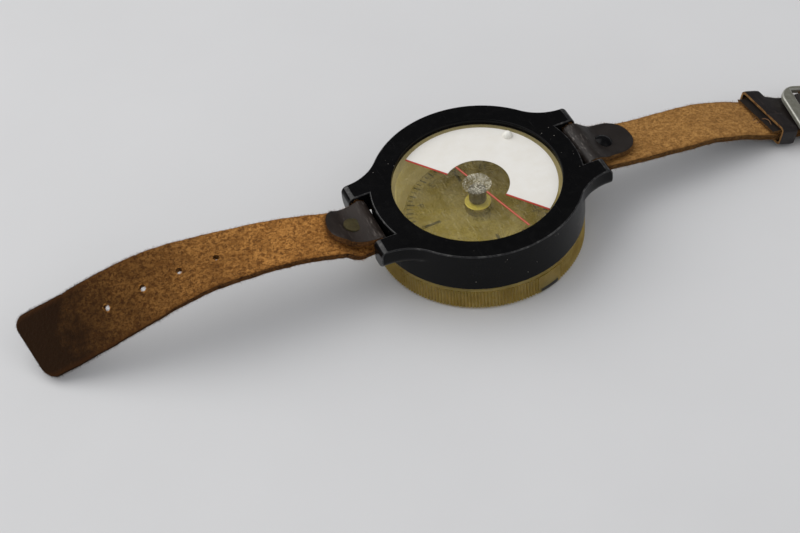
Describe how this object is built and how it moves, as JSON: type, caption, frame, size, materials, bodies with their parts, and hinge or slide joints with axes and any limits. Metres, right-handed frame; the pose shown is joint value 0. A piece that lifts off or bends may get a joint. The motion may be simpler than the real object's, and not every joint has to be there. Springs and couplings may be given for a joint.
{
  "type": "wrist_compass",
  "caption": "Aircrew wrist compass lying face down: black moulded case, yellowed turning bezel, clear capsule and riveted leather strap with buckle",
  "frame": {"origin": "on the compass axis, in the plane of the front face", "axes": "+X along the strap towards the buckle, +Y across the strap, +Z towards the back of the compass"},
  "size_m": [0.2457, 0.058, 0.024],
  "materials": {
    "black_moulding": "polished black moulding with fine scratches and dust",
    "yellowed_clear": "clear moulding yellowed with age",
    "capsule_clear": "clear moulding, yellowed",
    "white_plate": "aged white",
    "white_plug": "white stopper",
    "red_paint": "faded red line",
    "black_paint": "black inlay",
    "dark_stem": "dark brown moulding",
    "yellow_hub": "dull brass",
    "magnet": "dark magnet steel",
    "jewel": "polished bearing stone",
    "steel": "plain steel",
    "felt": "dark felt",
    "strap_leather": "tan suede side, dark grain side",
    "dark_leather": "dark brown grain",
    "brass": "tarnished brass",
    "black_rivet": "black enamel",
    "buckle_steel": "dull nickelled steel"
  },
  "bodies": {
    "case_body": {"case": "black_moulding", "strap_bar_long": "steel", "strap_bar_short": "steel", "dust_seal": "felt", "snap_ring": "steel"},
    "bezel_body": {"bezel": "yellowed_clear", "bezel_index": "black_paint", "cell_cup": "capsule_clear", "cell_cover": "capsule_clear", "half_plate": "white_plate", "red_edge_lines": "red_paint", "course_line": "red_paint", "filler_plug": "white_plug", "pivot_boss": "capsule_clear", "pivot_stem": "dark_stem", "pivot_needle": "steel"},
    "card_body": {"compass_card": "capsule_clear", "card_hub": "yellow_hub", "ring_magnet": "magnet", "jewel_cup": "jewel"},
    "strap_long_body": {"strap_long": "strap_leather", "rivet_long": "brass", "rivet_burr_long": "brass"},
    "strap_short_body": {"strap_short": "strap_leather", "rivet_short": "black_rivet", "rivet_burr_short": "black_rivet"},
    "keeper_body": {"keeper_loop": "dark_leather"},
    "buckle_body": {"buckle_frame": "buckle_steel"},
    "prong_body": {"buckle_prong": "buckle_steel"}
  },
  "joints": [
    {"name": "bezel_turn", "type": "hinge", "parent": "case_body", "child": "bezel_body", "pos_m": [0, 0, 0], "axis": [0, 0, 1], "continuous": true},
    {"name": "card_swing", "type": "hinge", "parent": "bezel_body", "child": "card_body", "pos_m": [0, 0, 0.01], "axis": [0, 0, 1], "continuous": true},
    {"name": "strap_long_swing", "type": "hinge", "parent": "case_body", "child": "strap_long_body", "pos_m": [-0.032, 0, 0.01717], "axis": [0, 1, 0], "range_deg": [-60, 75]},
    {"name": "strap_short_swing", "type": "hinge", "parent": "case_body", "child": "strap_short_body", "pos_m": [0.032, 0, 0.01717], "axis": [0, -1, 0], "range_deg": [-60, 75]},
    {"name": "keeper_slide", "type": "slide", "parent": "strap_short_body", "child": "keeper_body", "axis": [0.9613, -0.1322, -0.2419], "range_m": [-0.0025, 0.0005]},
    {"name": "buckle_fold", "type": "hinge", "parent": "strap_short_body", "child": "buckle_body", "pos_m": [0.107, -0.0038, 0.0024], "axis": [0.1362, 0.9907, 0], "range_deg": [0, 155]},
    {"name": "prong_swing", "type": "hinge", "parent": "strap_short_body", "child": "prong_body", "pos_m": [0.107, -0.0038, 0.0024], "axis": [-0.1362, -0.9907, 0], "range_deg": [0, 135]}
  ]
}
